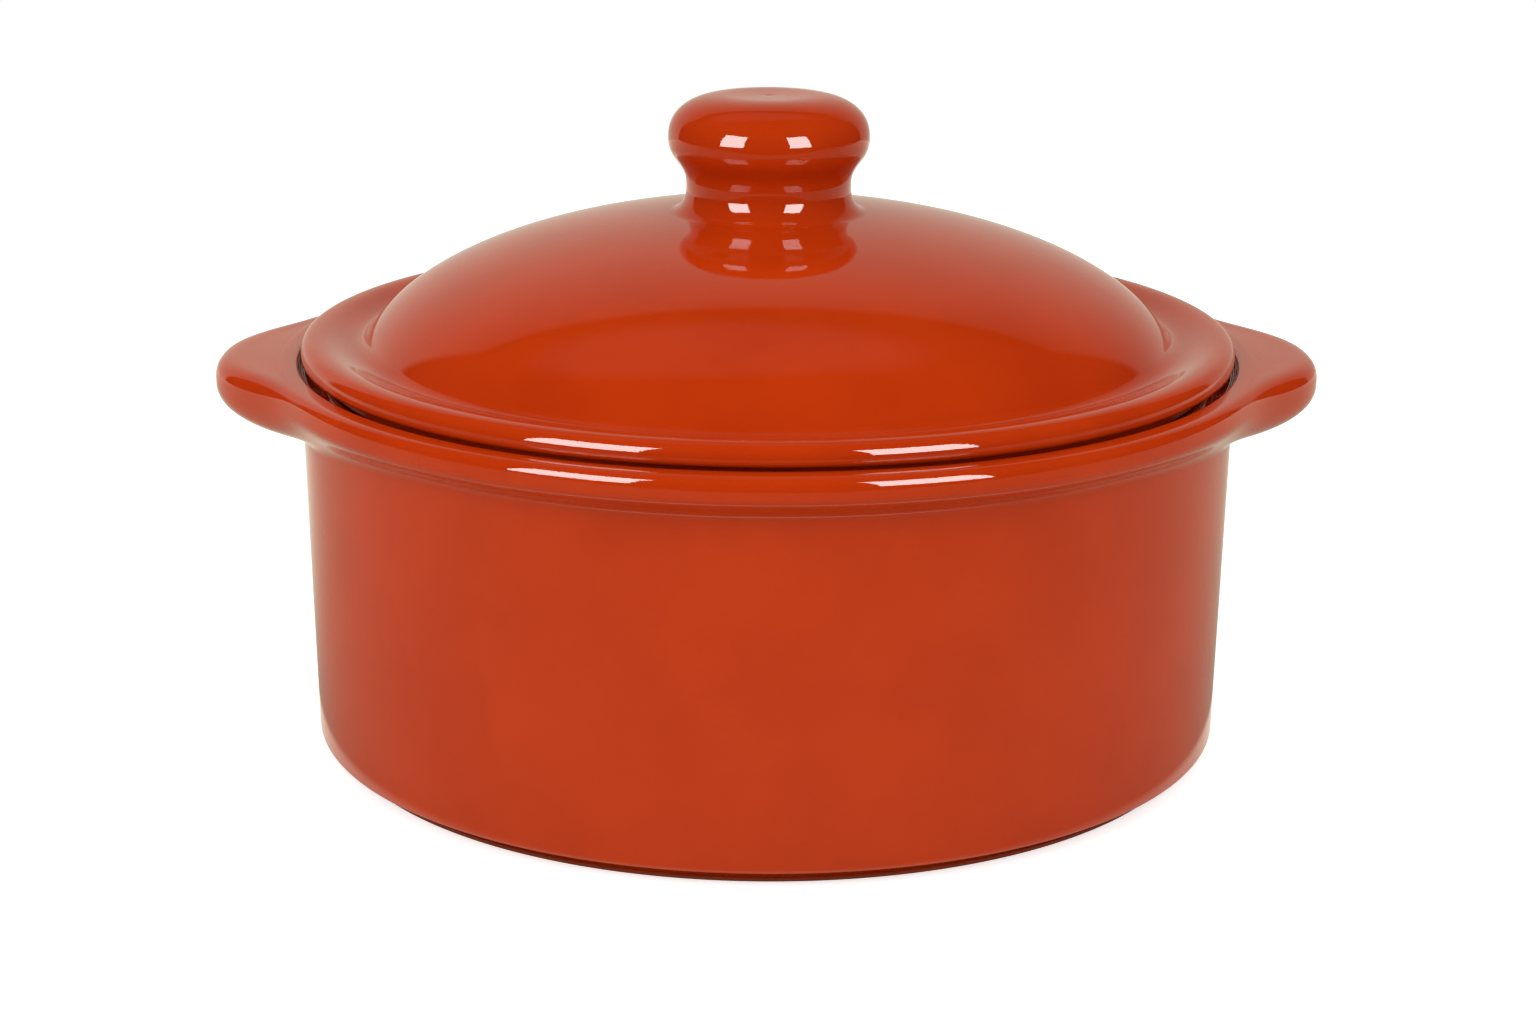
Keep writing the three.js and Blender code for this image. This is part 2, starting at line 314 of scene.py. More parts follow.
# Bare fired red clay: matt and dry, with a sandy grain and slightly uneven firing colour.
CLAY_LIGHT = "#A64A26"
CLAY_DARK = "#8A3418"
CLAY_ROUGHNESS = 0.85
FIRING_SIZE = 14
GRIT_SIZE = 0.6
GRIT_DEPTH = 0.05

bare_clay = bpy.data.materials.new("bare_fired_red_clay")
tree = emptied(bare_clay)
place = node(tree, "ShaderNodeTexCoord", {}).outputs["Object"]
firing = node(
    tree,
    "ShaderNodeTexNoise",
    {"Vector": place, "Scale": 1 / (FIRING_SIZE * MM), "Detail": 5.0},
)
grit = node(tree, "ShaderNodeTexNoise", {"Vector": place, "Scale": 1 / (GRIT_SIZE * MM), "Detail": 3.0})
colour = node(
    tree,
    "ShaderNodeMix",
    {0: firing.outputs["Fac"], 6: linear(CLAY_LIGHT), 7: linear(CLAY_DARK)},
    data_type="RGBA",
)
grain = node(
    tree,
    "ShaderNodeBump",
    {"Height": grit.outputs["Fac"], "Strength": 1.0, "Distance": GRIT_DEPTH * MM},
)
surface = node(
    tree,
    "ShaderNodeBsdfPrincipled",
    {"Base Color": colour.outputs[2], "Roughness": CLAY_ROUGHNESS, "Normal": grain.outputs["Normal"]},
)
node(tree, "ShaderNodeOutputMaterial", {"Surface": surface.outputs["BSDF"]})

foot_ring.data.materials.append(bare_clay)
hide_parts("foot_ring")
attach(foot_ring, "pot")

# Handles
# Two lugs of the same clay, pulled out of the rim on the left and right while it was soft. Each one's top
# carries on from the rim, its edge is rolled like the rim's, and its root runs out under the roll.
HANDLE_HALF_LENGTH = 32.8
HANDLE_FULLNESS = 2.65
HANDLE_TOP_DROP = 0.4
HANDLE_ROOT_LENGTH = 112
HANDLE_EDGE_HALF_WIDTH = 8
HANDLE_EDGE_HALF_HEIGHT = 6.4
HANDLE_EDGE_BLEND = 3
HANDLE_EDGE_EASING = 0.6
HANDLE_SWEEP_BELOW = 5
HANDLE_SWEEP_DROP = 11
HANDLE_SWEEP_RISE = 2.5
HANDLE_SKIN = 0.021
HANDLE_STEP = 1.0
HANDLE_TOP_STEPS = 10
HANDLE_BURIED = 2
HANDLE_BACK_INSET = 1

handle_low, handle_high = (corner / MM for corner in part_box("right_handle"))
handle_reach = handle_high.x - rim_reach
root_angle = math.degrees(HANDLE_ROOT_LENGTH / rim_reach)


def handle_section(angle):
    """A lug's outline at an angle in degrees from its middle: its skin from lip to wall, and its back."""
    along = math.radians(abs(angle)) * rim_reach
    share = math.exp(-((along / HANDLE_HALF_LENGTH) ** HANDLE_FULLNESS))
    reach = handle_reach * share
    rooted = max(0.0, 1 - (along / HANDLE_ROOT_LENGTH) ** 2) ** 2
    swell = 1 - math.exp(-reach / HANDLE_EDGE_BLEND)
    half_width = ROLL_HALF_WIDTH + (HANDLE_EDGE_HALF_WIDTH - ROLL_HALF_WIDTH) * swell
    half_height = ROLL_HALF_HEIGHT + (HANDLE_EDGE_HALF_HEIGHT - ROLL_HALF_HEIGHT) * swell
    top = rim_height - HANDLE_TOP_DROP * share
    edge_r = rim_reach + reach - half_width
    edge_z = top - half_height
    end_z = sweep_end + (handle_low.z - HANDLE_SWEEP_BELOW - sweep_end) * rooted
    drop = SWEEP_DROP + (HANDLE_SWEEP_DROP - SWEEP_DROP) * swell
    rise = SWEEP_RISE + (HANDLE_SWEEP_RISE - SWEEP_RISE) * swell
    lip_r = gallery_radius + LIP_RADIUS
    back_r = lip_r + HANDLE_BACK_INSET
    squareness = ROLL_TOP_SQUARENESS - HANDLE_EDGE_EASING * swell
    skin = []
    for i in range(HANDLE_TOP_STEPS):
        across = i / HANDLE_TOP_STEPS
        ease = across * across * (3 - 2 * across)
        skin.append((lip_r + (edge_r - lip_r) * across, rim_height + (top - rim_height) * ease))
    skin += roll(edge_r, edge_z, half_width, half_height, squareness, 90, 0, ROLL_STEPS)
    skin += sweep(edge_r + half_width, edge_z, end_z, drop, rise, SWEEP_STEPS)[1:]
    back = [
        (WALL_TOP_RADIUS - HANDLE_BURIED, end_z),
        (WALL_TOP_RADIUS - HANDLE_BURIED, sweep_end + HANDLE_BURIED),
        (back_r, roll_z - HANDLE_BURIED),
        (back_r, rim_height - HANDLE_BURIED),
    ]
    return skin, back


def handle(name, turn):
    """A lug skinned over its sections and turned to its side of the pot."""
    maker = bmesh.new()
    half = int(root_angle / HANDLE_STEP)
    rows = []
    for step in range(-half, half + 1):
        angle = step * HANDLE_STEP
        skin, back = handle_section(angle)
        skin = [(r + HANDLE_SKIN, z + (HANDLE_SKIN if z > roll_z else 0)) for r, z in skin]
        a = math.radians(angle + turn)
        row = [(r * MM * math.cos(a), r * MM * math.sin(a), z * MM) for r, z in skin + back]
        rows.append([maker.verts.new(point) for point in row])
    count = len(rows[0])
    for here, after in zip(rows, rows[1:]):
        for i in range(count):
            j = (i + 1) % count
            maker.faces.new((here[i], here[j], after[j], after[i]))
    maker.faces.new(rows[0])
    maker.faces.new(list(reversed(rows[-1])))
    return shaded(name, maker)


for side, turn in (("right", 0), ("left", 180)):
    lug = handle(f"{side}_handle_glazed", turn)
    lug.data.materials.append(glaze)
    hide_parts(f"{side}_handle")
    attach(lug, "pot")

# Lid
# A turned cover with a hollow dome and a dished flange: a shallow moat round the dome, a crest, and a rolled
# edge that overhangs the ring the lid sits on. It is glazed all over and lies loose in the pot's gallery.
LID_THICKNESS = 7.5
LID_GAP = 0.7
CREST_HEIGHT = 10.2
CREST_INSET = 4.2
EDGE_HEIGHT = 5.9
EDGE_SQUARENESS = 2.8
EDGE_UNDER_RADIUS = 1.5
SEAT_INSET = 5.7
SEAT_CORNER_RADIUS = 1
MOAT_HEIGHT = 7.8
MOAT_FILLET = 4
DOME_INSET = 14.3
DOME_SPRING = 0.1
DOME_RISE = 41.5
DOME_STEPS = 48
INSIDE_STEPS = 24
MOAT_STEPS = 14
FILLET_STEPS = 12
UNDER_STEPS = 6
SEAT_STEPS = 5
SEAT_INNER_STEPS = 4
BISECTIONS = 50

lid_radius = gallery_radius - LID_GAP
dome_radius = lid_radius - DOME_INSET
dome_base = seat_height + DOME_SPRING
moat_z = seat_height + MOAT_HEIGHT


def dome_point(angle):
    """A point of the dome's outline, at its angle in degrees about the dome's centre."""
    a = math.radians(angle)
    return dome_radius * math.cos(a), dome_base + DOME_RISE * math.sin(a)


def dome_normal(angle):
    """The direction that the dome faces at that point."""
    a = math.radians(angle)
    return Vector((math.cos(a) / dome_radius, math.sin(a) / DOME_RISE)).normalized()


def resting_angle(radius, height):
    """The dome angle where a ball of that radius, resting on the dome, is lowest at that height."""
    low, high = 0.0, 90.0
    for _ in range(BISECTIONS):
        middle = (low + high) / 2
        centre = dome_point(middle)[1] + dome_normal(middle).y * radius
        low, high = (middle, high) if centre - radius < height else (low, middle)
    return low


spring_angle = resting_angle(MOAT_FILLET, moat_z)
spring = Vector(dome_point(spring_angle))
spring_normal = dome_normal(spring_angle)
hollow = spring + spring_normal * MOAT_FILLET
spring_turn = math.degrees(math.atan2(-spring_normal.y, -spring_normal.x))
inside_radius = dome_radius - LID_THICKNESS
inside_rise = DOME_RISE - LID_THICKNESS
crest_r = lid_radius - CREST_INSET
crest_z = seat_height + CREST_HEIGHT
edge_z = seat_height + EDGE_HEIGHT
under_z = edge_z - EDGE_UNDER_RADIUS
seat_r = lid_radius - SEAT_INSET

outline = [(0, dome_base + inside_rise)]
for i in range(1, INSIDE_STEPS + 1):
    a = math.radians(90 - 90 * i / INSIDE_STEPS)
    outline.append((inside_radius * math.cos(a), dome_base + inside_rise * math.sin(a)))
seat_z = seat_height + SEAT_CORNER_RADIUS
outline += arc(inside_radius + SEAT_CORNER_RADIUS, seat_z, SEAT_CORNER_RADIUS, 180, 270, SEAT_INNER_STEPS)
outline += arc(seat_r - SEAT_CORNER_RADIUS, seat_z, SEAT_CORNER_RADIUS, -90, 0, SEAT_STEPS)
outline += arc(
    seat_r + SEAT_CORNER_RADIUS, under_z - SEAT_CORNER_RADIUS, SEAT_CORNER_RADIUS, 180, 90, SEAT_STEPS
)
outline += arc(lid_radius - EDGE_UNDER_RADIUS, edge_z, EDGE_UNDER_RADIUS, -90, 0, UNDER_STEPS)
outline += roll(crest_r, edge_z, CREST_INSET, crest_z - edge_z, EDGE_SQUARENESS, 0, 90, ROLL_STEPS)[1:]
for i in range(1, MOAT_STEPS):
    share = i / MOAT_STEPS
    ease = share**2 * (3 - 2 * share)
    outline.append((crest_r + (hollow.x - crest_r) * share, crest_z + (moat_z - crest_z) * ease))
outline += arc(hollow.x, hollow.y, MOAT_FILLET, 270, spring_turn % 360, FILLET_STEPS)
for i in range(1, DOME_STEPS):
    outline.append(dome_point(spring_angle + (90 - spring_angle) * i / DOME_STEPS))
outline.append((0, dome_base + DOME_RISE))
lid = turned("lid_glazed", outline, POT_SEGMENTS)
lid.data.materials.append(glaze)
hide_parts("lid")
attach(lid, "lid")

# Knob
# A turned knob with a full, flat-topped cap over a hollow neck, stuck to the crown of the dome with slip and
# glazed with the lid, so that its foot flows into the dome. The lathe's centre left a dimple in its top.
KNOB_SEGMENTS = 192
KNOB_NECK_RADIUS = 21
KNOB_CAP_HEIGHT = 10.8
KNOB_CAP_SQUARENESS = 2.3
KNOB_FLAT_RADIUS = 10
KNOB_COVE_HEIGHT = 11.8
KNOB_FLARE_WIDTH = 4.6
KNOB_FLARE_HEIGHT = 5.9
DISH_RADIUS = 10
DISH_DEPTH = 0.3
DIMPLE_RADIUS = 1.2
DIMPLE_DEPTH = 0.15
KNOB_BURIED = 2
FLARE_STEPS = 18
COVE_STEPS = 24
CAP_STEPS = 40
CAP_TOP_STEPS = 24

knob_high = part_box("lid_knob")[1] / MM
knob_radius = knob_high.x
cap_z = knob_high.z - KNOB_CAP_HEIGHT
neck_z = cap_z - KNOB_COVE_HEIGHT
flare_r = KNOB_NECK_RADIUS + KNOB_FLARE_WIDTH
# The flare is a quarter oval that ends where it lies flat on the dome.
touch_normal = dome_normal(math.degrees(math.acos(flare_r / dome_radius)))
touch_turn = math.atan2(-touch_normal.y * KNOB_FLARE_HEIGHT, -touch_normal.x * KNOB_FLARE_WIDTH)
touch_r = flare_r + KNOB_FLARE_WIDTH * math.cos(touch_turn)
touch_z = dome_base + DOME_RISE * math.sqrt(1 - (touch_r / dome_radius) ** 2)
flare_z = touch_z - KNOB_FLARE_HEIGHT * math.sin(touch_turn)

outline = [(0, touch_z - KNOB_BURIED), (touch_r, touch_z - KNOB_BURIED)]
flare_start = math.degrees(touch_turn) % 360
outline += roll(flare_r, flare_z, KNOB_FLARE_WIDTH, KNOB_FLARE_HEIGHT, 2, flare_start, 180, FLARE_STEPS)
cove_middle = (cap_z + neck_z) / 2
for i in range(COVE_STEPS + 1):
    t = i / COVE_STEPS
    r = KNOB_NECK_RADIUS * (1 - t) ** 2 * (1 + 2 * t) + knob_radius * t**2 * (3 - 2 * t)
    z = neck_z * (1 - t) ** 3 + 3 * cove_middle * t * (1 - t) + cap_z * t**3
    outline.append((r, z))
cap_width = knob_radius - KNOB_FLAT_RADIUS
cap = roll(KNOB_FLAT_RADIUS, cap_z, cap_width, KNOB_CAP_HEIGHT, KNOB_CAP_SQUARENESS, 0, 90, CAP_STEPS)
cap += straight((KNOB_FLAT_RADIUS, knob_high.z), (0, knob_high.z), CAP_TOP_STEPS)
for r, z in cap[1:]:
    dish = DISH_DEPTH * math.exp(-((r / DISH_RADIUS) ** 2))
    dimple = DIMPLE_DEPTH * math.exp(-((r / DIMPLE_RADIUS) ** 2))
    outline.append((r, z - dish - dimple))
outline.append((0, knob_high.z - DISH_DEPTH - DIMPLE_DEPTH))
knob = turned("lid_knob_glazed", outline, KNOB_SEGMENTS)
knob.data.materials.append(glaze)
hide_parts("lid_knob")
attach(knob, "lid")

# Table and backdrop
# A white paper sheet on a table that the pot stands on, and a white board standing behind it. The board
# is no lamp but glows, and its glow is painted fading towards its top and its right. The camera sees
# plain white, with the pot's shadow on the sheet. The glaze mirrors a softer, warmer white: the sheet as
# a painted dimmer copy, with painted light brighter at its back and a painted shadow close under the base.
SHEET_WHITE = "#E6E4E1"
SHEET_DIM = "#9A8F7A"
WARM_WHITE = "#FFF6E2"
SHEET_FRONT = -0.62
SHEET_FRONT_FADE = 0.07
SHEET_BACK = 0.85
SHEET_HALF_WIDTH = 1.3
SHEET_LIFT = 0.65
SHEET_SHINE_START = -0.3
SHEET_SHINE_BACK = 0.8
SPOT_PLACE = (-0.04, 0.3, 0)
SPOT_REACH = 0.3
SPOT_CORE = 0.12
SPOT_SHINE = 0.45
# Radii about the pot: where a painted shadow turns the mirrored sheet dark under the base, where painted
# shade dims the light it sends back near the foot, and the painted bright ring that draws the thin light
# line along the base's edge.
FOOT_PAINTED_SHADOW = (0.115, 0.118)
FOOT_PAINTED_SHADE = (0.05, 0.15)
FOOT_PAINTED_EDGE_GLOW = (0.124, 0.128)
FOOT_PAINTED_EDGE_SHINE = 0.8
BOARD_TOP = 1.4
BOARD_TOP_FADE = 0.14
BOARD_END_FADE = 0.2
BOARD_SHINE = (0.8, 0.19)
BOARD_RIGHT_SHARE = 0.5
BOARD_LIGHT = 2.0


def mirror_ray(tree):
    """1 where the glaze, or any metal or glass, mirrors or bends the view here, else 0."""
    kinds = node(tree, "ShaderNodeLightPath", {}).outputs
    both_kinds = {0: kinds["Is Glossy Ray"], 1: kinds["Is Transmission Ray"]}
    return node(tree, "ShaderNodeMath", both_kinds, operation="MAXIMUM").outputs[0]


def dark_to_coat(tree, level):
    """A level of light that the glaze's sharp clear coat doesn't mirror."""
    coat_ray = node(tree, "ShaderNodeLightPath", {}).outputs["Is Singular Ray"]
    other_rays = node(tree, "ShaderNodeMath", {0: 1.0, 1: coat_ray}, operation="SUBTRACT").outputs[0]
    return node(tree, "ShaderNodeMath", {0: level, 1: other_rays}, operation="MULTIPLY").outputs[0]


def card(name, corners, visible):
    """A flat four-cornered card of the stage, seen only by the kinds of ray that are named."""
    maker = bmesh.new()
    maker.faces.new([maker.verts.new(corner) for corner in corners])
    mesh = bpy.data.meshes.new(name)
    maker.to_mesh(mesh)
    maker.free()
    made = bpy.data.objects.new(name, mesh)
    bpy.context.scene.collection.objects.link(made)
    for kind in ("camera", "diffuse", "glossy", "transmission", "shadow"):
        setattr(made, f"visible_{kind}", kind in visible)
    return made


sheet = card(
    "table_sheet",
    [
        (-SHEET_HALF_WIDTH, SHEET_FRONT, 0),
        (SHEET_HALF_WIDTH, SHEET_FRONT, 0),
        (SHEET_HALF_WIDTH, SHEET_BACK, 0),
        (-SHEET_HALF_WIDTH, SHEET_BACK, 0),
    ],
    ("camera", "diffuse", "glossy", "transmission", "shadow"),
)
paper = bpy.data.materials.new("white_paper_sheet")
tree = emptied(paper)
to_camera = node(tree, "ShaderNodeLightPath", {}).outputs["Is Camera Ray"]
reflected = mirror_ray(tree)
place = node(tree, "ShaderNodeTexCoord", {}).outputs["Object"]
depth = node(tree, "ShaderNodeSeparateXYZ", {"Vector": place}).outputs["Y"]
# Painted light on the sheet, seen only in reflections: brighter towards its back and in a soft spot behind
# the pot.
shine = node(
    tree,
    "ShaderNodeMapRange",
    {"Value": depth, "From Min": SHEET_SHINE_START, "From Max": SHEET_BACK, "To Max": SHEET_SHINE_BACK},
).outputs["Result"]
off_spot = node(
    tree,
    "ShaderNodeVectorMath",
    {0: place, 1: SPOT_PLACE},
    operation="DISTANCE",
).outputs["Value"]
painted_spot = node(
    tree,
    "ShaderNodeMapRange",
    {"Value": off_spot, "From Min": SPOT_REACH, "From Max": SPOT_CORE, "To Max": SPOT_SHINE},
    interpolation_type="SMOOTHSTEP",
).outputs["Result"]
back_shine = node(tree, "ShaderNodeMath", {0: shine, 1: painted_spot}, operation="ADD").outputs[0]
reach = node(tree, "ShaderNodeVectorMath", {0: place}, operation="LENGTH").outputs["Value"]
# Painted shadow: the mirrored sheet goes dark close under the base.
past_base = node(
    tree,
    "ShaderNodeMapRange",
    {"Value": reach, "From Min": FOOT_PAINTED_SHADOW[0], "From Max": FOOT_PAINTED_SHADOW[1]},
).outputs["Result"]
open_floor = dark_to_coat(tree, past_base)
# Painted shade: near the foot the sheet sends back less light to the pot.
lit_bounce = node(
    tree,
    "ShaderNodeMapRange",
    {"Value": reach, "From Min": FOOT_PAINTED_SHADE[0], "From Max": FOOT_PAINTED_SHADE[1]},
).outputs["Result"]
bounce = node(tree, "ShaderNodeMath", {0: lit_bounce, 1: to_camera}, operation="MAXIMUM").outputs[0]
front_edge = node(
    tree,
    "ShaderNodeMapRange",
    {"Value": depth, "From Min": SHEET_FRONT, "From Max": SHEET_FRONT + SHEET_FRONT_FADE},
    interpolation_type="SMOOTHSTEP",
).outputs["Result"]
lit_floor = node(tree, "ShaderNodeMath", {0: open_floor, 1: front_edge}, operation="MULTIPLY").outputs[0]
# Painted shade: in reflections the sheet is a dimmer, warmer copy of itself, going black under the base and
# towards its front edge.
shaded_dim = node(
    tree,
    "ShaderNodeMix",
    {0: lit_floor, 6: (0, 0, 0, 1), 7: linear(SHEET_DIM)},
    data_type="RGBA",
).outputs[2]
lit_white = node(
    tree,
    "ShaderNodeMix",
    {0: bounce, 6: (0, 0, 0, 1), 7: linear(SHEET_WHITE)},
    data_type="RGBA",
).outputs[2]
tone = node(tree, "ShaderNodeMix", {0: reflected, 6: lit_white, 7: shaded_dim}, data_type="RGBA")
matt = node(tree, "ShaderNodeBsdfDiffuse", {"Color": tone.outputs[2]})
glow_tint = node(
    tree,
    "ShaderNodeMix",
    {0: reflected, 6: (1, 1, 1, 1), 7: linear(WARM_WHITE)},
    data_type="RGBA",
)
# A painted bright ring on the sheet round the foot, seen only in reflections, that draws a light line along
# the base's edge.
edge_shine = node(
    tree,
    "ShaderNodeMapRange",
    {
        "Value": reach,
        "From Min": FOOT_PAINTED_EDGE_GLOW[1],
        "From Max": FOOT_PAINTED_EDGE_GLOW[0],
        "To Max": FOOT_PAINTED_EDGE_SHINE,
    },
).outputs["Result"]
all_shine = node(tree, "ShaderNodeMath", {0: back_shine, 1: edge_shine}, operation="MAXIMUM").outputs[0]
open_shine = node(tree, "ShaderNodeMath", {0: all_shine, 1: open_floor}, operation="MULTIPLY").outputs[0]
back_glow = node(tree, "ShaderNodeMath", {0: reflected, 1: open_shine}, operation="MULTIPLY").outputs[0]
glow = node(
    tree,
    "ShaderNodeMath",
    {0: to_camera, 1: SHEET_LIFT, 2: back_glow},
    operation="MULTIPLY_ADD",
).outputs[0]
lift = node(tree, "ShaderNodeEmission", {"Color": glow_tint.outputs[2], "Strength": glow})
both = node(tree, "ShaderNodeAddShader", {0: matt.outputs[0], 1: lift.outputs[0]})
node(tree, "ShaderNodeOutputMaterial", {"Surface": both.outputs[0]})
sheet.data.materials.append(paper)

board = card(
    "back_board",
    [
        (-SHEET_HALF_WIDTH, SHEET_BACK, 0),
        (SHEET_HALF_WIDTH, SHEET_BACK, 0),
        (SHEET_HALF_WIDTH, SHEET_BACK, BOARD_TOP),
        (-SHEET_HALF_WIDTH, SHEET_BACK, BOARD_TOP),
    ],
    ("diffuse", "glossy", "transmission"),
)
board_white = bpy.data.materials.new("white_back_board")
tree = emptied(board_white)
place = node(tree, "ShaderNodeTexCoord", {}).outputs["Object"]
across_up = node(tree, "ShaderNodeSeparateXYZ", {"Vector": place})
# Painted light: the board's glow falls off towards its top, and down to half towards its right end.
fading = node(
    tree,
    "ShaderNodeMapRange",
    {
        "Value": across_up.outputs["Z"],
        "From Max": BOARD_TOP,
        "To Min": BOARD_SHINE[0],
        "To Max": BOARD_SHINE[1],
    },
).outputs["Result"]
right_share = node(
    tree,
    "ShaderNodeMapRange",
    {
        "Value": across_up.outputs["X"],
        "From Max": SHEET_HALF_WIDTH,
        "To Min": 1.0,
        "To Max": BOARD_RIGHT_SHARE,
    },
).outputs["Result"]
lit_board = node(tree, "ShaderNodeMath", {0: fading, 1: right_share}, operation="MULTIPLY").outputs[0]
top_edge = node(
    tree,
    "ShaderNodeMapRange",
    {"Value": across_up.outputs["Z"], "From Min": BOARD_TOP, "From Max": BOARD_TOP - BOARD_TOP_FADE},
    interpolation_type="SMOOTHSTEP",
).outputs["Result"]
aside = node(tree, "ShaderNodeMath", {0: across_up.outputs["X"]}, operation="ABSOLUTE").outputs[0]
end_edge = node(
    tree,
    "ShaderNodeMapRange",
    {"Value": aside, "From Min": SHEET_HALF_WIDTH, "From Max": SHEET_HALF_WIDTH - BOARD_END_FADE},
    interpolation_type="SMOOTHSTEP",
).outputs["Result"]
edges = node(tree, "ShaderNodeMath", {0: top_edge, 1: end_edge}, operation="MULTIPLY").outputs[0]
strength = node(
    tree,
    "ShaderNodeMath",
    {0: lit_board, 1: dark_to_coat(tree, edges)},
    operation="MULTIPLY",
).outputs[0]
lit_back = node(tree, "ShaderNodeLightPath", {}).outputs["Is Diffuse Ray"]
board_tint = node(
    tree,
    "ShaderNodeMix",
    {0: lit_back, 6: linear(WARM_WHITE), 7: (1, 1, 1, 1)},
    data_type="RGBA",
)
lamp_share = node(
    tree,
    "ShaderNodeMapRange",
    {"Value": lit_back, "To Min": 1.0, "To Max": BOARD_LIGHT},
).outputs["Result"]
board_level = node(tree, "ShaderNodeMath", {0: strength, 1: lamp_share}, operation="MULTIPLY").outputs[0]
glow = node(tree, "ShaderNodeEmission", {"Color": board_tint.outputs[2], "Strength": board_level})
node(tree, "ShaderNodeOutputMaterial", {"Surface": glow.outputs[0]})
board.data.materials.append(board_white)

# Lamps and ceiling
# An even white room lights the pot, with two weak lamps in front of it, left and right of the camera. Each
# lamp's soft box is a card farther off that only the clear coat mirrors. The glaze also shows a dim ceiling.
LAMP_POWERS = {"left": 3.35, "right": 2.3}
LAMP_TURN = 42.0
LAMP_DISTANCE = 0.9
LAMP_WIDTH = 0.5
LAMP_HEIGHT = 0.6
LAMP_CENTRE = 0.56
LAMP_AIM = 0.08
BOX_SHINE = 14.0
BOX_DISTANCE = 2.2
BOX_WIDTHS = {"left": 1.11, "right": 0.98}
BOX_LEAN = 5.0
BOX_HEIGHT = 1.36
BOX_CENTRE = 0.79
BOX_TURNS = {"left": -42.6, "right": 33.7}
CEILING_TOWARD = Vector((-0.15, 0.3, 1))
CEILING_SQUASH = Vector((0.5, 1, 1))
CEILING_SHINE = 0.14
CEILING_REACH = (17.5, 10)
ROOM_LEVEL = 0.02
ROOM_FILL = 0.75
HORIZON_FADE = 0.05

box_cloth = bpy.data.materials.new("soft_box_cloth")
tree = emptied(box_cloth)
coat_ray = node(tree, "ShaderNodeLightPath", {}).outputs["Is Singular Ray"]
level = node(tree, "ShaderNodeMath", {0: coat_ray, 1: BOX_SHINE}, operation="MULTIPLY").outputs[0]
glow = node(tree, "ShaderNodeEmission", {"Strength": level})
node(tree, "ShaderNodeOutputMaterial", {"Surface": glow.outputs[0]})
for side, turn in BOX_TURNS.items():
    toward = Vector((math.sin(math.radians(turn)), -math.cos(math.radians(turn)), 0))
    centre = toward * BOX_DISTANCE + Vector((0, 0, BOX_CENTRE))
    sideways = Vector((-toward.y, toward.x, 0))
    lean = math.copysign(math.tan(math.radians(BOX_LEAN)), -turn)
    across = sideways * BOX_WIDTHS[side] / 2
    up = (Vector((0, 0, 1)) + sideways * lean) * BOX_HEIGHT / 2
    corners = [centre - across - up, centre + across - up, centre + across + up, centre - across + up]
    soft_box = card(f"{side}_soft_box", corners, ("glossy", "transmission"))
    soft_box.data.materials.append(box_cloth)
    lamp = bpy.data.lights.new(f"{side}_lamp", "AREA")
    lamp.shape = "RECTANGLE"
    lamp.size = LAMP_WIDTH
    lamp.size_y = LAMP_HEIGHT
    lamp.energy = LAMP_POWERS[side]
    lamp_object = bpy.data.objects.new(f"{side}_lamp", lamp)
    bpy.context.scene.collection.objects.link(lamp_object)
    lamp_turn = math.radians(math.copysign(LAMP_TURN, turn))
    lit_from = Vector((math.sin(lamp_turn), -math.cos(lamp_turn), 0))
    lamp_object.location = lit_from * LAMP_DISTANCE + Vector((0, 0, LAMP_CENTRE))
    aim = Vector((0, 0, LAMP_AIM)) - lamp_object.location
    lamp_object.rotation_euler = aim.to_track_quat("-Z", "Y").to_euler()
    lamp_object.visible_glossy = False
    lamp_object.visible_camera = False

room = bpy.data.worlds.new("white_studio")
bpy.context.scene.world = room
tree = emptied(room)
to_camera = node(tree, "ShaderNodeLightPath", {}).outputs["Is Camera Ray"]
direction = node(tree, "ShaderNodeTexCoord", {}).outputs["Generated"]
squashed = node(
    tree,
    "ShaderNodeVectorMath",
    {0: direction, 1: CEILING_SQUASH},
    operation="MULTIPLY",
).outputs["Vector"]
narrowed = node(tree, "ShaderNodeVectorMath", {0: squashed}, operation="NORMALIZE").outputs["Vector"]
overhead = node(
    tree,
    "ShaderNodeVectorMath",
    {0: narrowed, 1: (Matrix.Diagonal(CEILING_SQUASH) @ CEILING_TOWARD).normalized()},
    operation="DOT_PRODUCT",
).outputs["Value"]
mirrored_level = node(
    tree,
    "ShaderNodeMapRange",
    {
        "Value": overhead,
        "From Min": math.cos(math.radians(CEILING_REACH[0])),
        "From Max": math.cos(math.radians(CEILING_REACH[1])),
        "To Min": ROOM_LEVEL,
        "To Max": ROOM_LEVEL + CEILING_SHINE,
    },
    interpolation_type="SMOOTHSTEP",
).outputs["Result"]
upward = node(tree, "ShaderNodeSeparateXYZ", {"Vector": direction}).outputs["Z"]
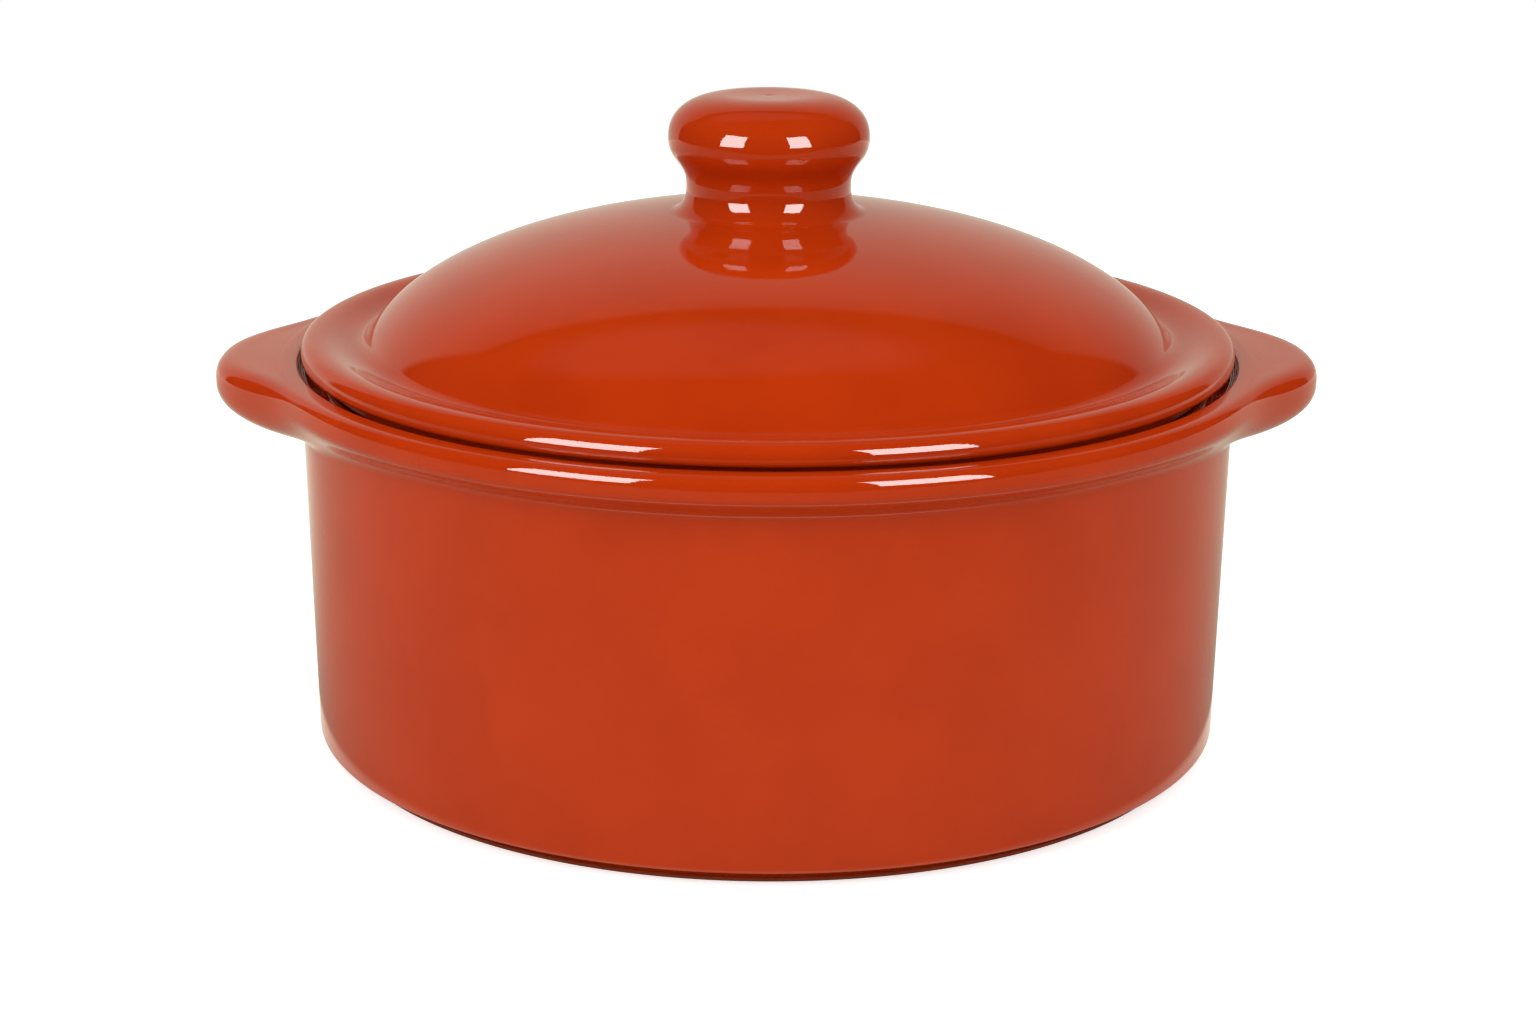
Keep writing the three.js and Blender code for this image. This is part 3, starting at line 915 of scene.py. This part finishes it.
fill_level = node(
    tree,
    "ShaderNodeMapRange",
    {"Value": upward, "From Min": -HORIZON_FADE, "From Max": HORIZON_FADE, "To Max": ROOM_FILL},
).outputs["Result"]
level = node(
    tree,
    "ShaderNodeMix",
    {0: mirror_ray(tree), 2: fill_level, 3: dark_to_coat(tree, mirrored_level)},
).outputs[0]
seen = node(tree, "ShaderNodeMath", {0: level, 1: to_camera}, operation="MAXIMUM").outputs[0]
backdrop = node(tree, "ShaderNodeBackground", {"Color": (1, 1, 1, 1), "Strength": seen})
node(tree, "ShaderNodeOutputWorld", {"Surface": backdrop.outputs[0]})

# Camera
# It stands in front of the pot, a little above the lid and a touch to the left, and is tilted by a third of a
# degree. Its lens and place are fitted to the photograph.
PHOTO_WIDTH = 1536
FOCAL_PIXELS = 3061.2
SENSOR_WIDTH = 36
CAMERA_DISTANCE = 0.8014
CAMERA_HEIGHT_ANGLE = 16.07
CAMERA_SIDE_ANGLE = 1.2
CAMERA_ROLL = 0.333
CAMERA_TARGET = Vector((0, 0, 0.05697))
CAMERA_OFFSET_PIXELS = 1.2

camera = bpy.data.cameras.new("camera")
camera.sensor_width = SENSOR_WIDTH
camera.lens = FOCAL_PIXELS / PHOTO_WIDTH * SENSOR_WIDTH
camera.shift_x = CAMERA_OFFSET_PIXELS / PHOTO_WIDTH
camera_object = bpy.data.objects.new("camera", camera)
bpy.context.scene.collection.objects.link(camera_object)
height = math.radians(CAMERA_HEIGHT_ANGLE)
aside = math.radians(CAMERA_SIDE_ANGLE)
level_part = Vector((-math.sin(aside), -math.cos(aside), 0)) * math.cos(height)
outward = level_part + Vector((0, 0, math.sin(height)))
aim = (-outward).to_track_quat("-Z", "Y").to_matrix().to_4x4()
camera_object.matrix_world = (
    Matrix.Translation(CAMERA_TARGET + outward * CAMERA_DISTANCE)
    @ aim
    @ Matrix.Rotation(math.radians(CAMERA_ROLL), 4, "Z")
)
bpy.context.scene.camera = camera_object
bpy.context.scene.view_settings.view_transform = "Standard"
